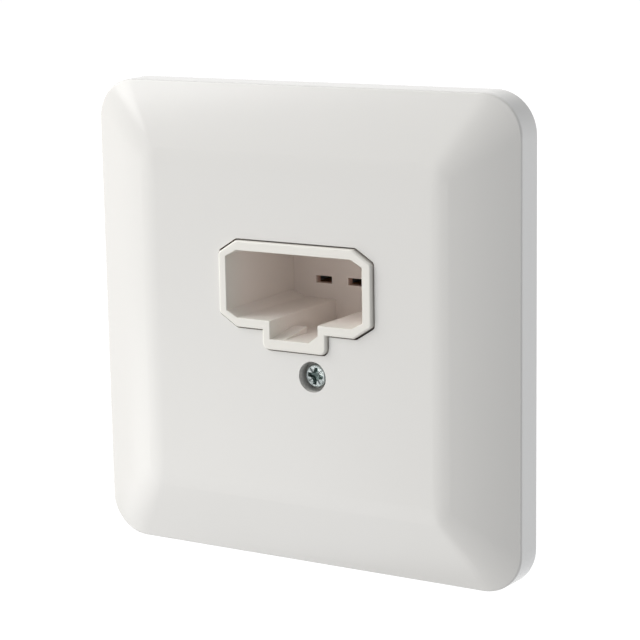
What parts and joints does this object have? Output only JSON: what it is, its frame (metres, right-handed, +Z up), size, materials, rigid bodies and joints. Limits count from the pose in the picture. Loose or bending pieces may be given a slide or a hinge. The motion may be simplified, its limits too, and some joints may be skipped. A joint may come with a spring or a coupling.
{
  "type": "luminaire outlet",
  "caption": "Flush wall outlet for a luminaire plug: bevelled square cover plate, keyed recess with contact slots, steel support frame and rear terminal housing.",
  "frame": {"origin": "middle of the cover plate's back, on the wall's surface, midway between the box slots", "axes": "+Z up, +X to the right seen from the room, +Y into the wall; the front faces -Y"},
  "size_m": [0.085, 0.0388, 0.085],
  "materials": {
    "cover_plastic": "satin gloss moulded",
    "socket_plastic": "satin moulded",
    "housing_plastic": "fine matt moulded",
    "zinc_sheet": "zinc plated sheet",
    "plated_screw": "blue passivated zinc",
    "contact_brass": "stamped",
    "spring_steel": "plain spring strip"
  },
  "bodies": {
    "root": {"cover": "cover_plastic", "cover_nut": "plated_screw", "cover_screw": "plated_screw", "earth_clamp_plate": "plated_screw", "earth_contact": "contact_brass", "earth_contact_spring": "spring_steel", "earth_strap": "zinc_sheet", "earth_terminal_cage": "plated_screw", "frame_rivets": "zinc_sheet", "housing_screws": "plated_screw", "line_clamp_plate": "plated_screw", "line_contact": "contact_brass", "line_contact_spring": "spring_steel", "line_terminal_cage": "plated_screw", "neutral_clamp_plate": "plated_screw", "neutral_contact": "contact_brass", "neutral_contact_spring": "spring_steel", "neutral_terminal_cage": "plated_screw", "outlet_body": "socket_plastic", "rear_housing": "housing_plastic", "support_frame": "zinc_sheet", "terminal_screws": "plated_screw"}
  },
  "joints": []
}
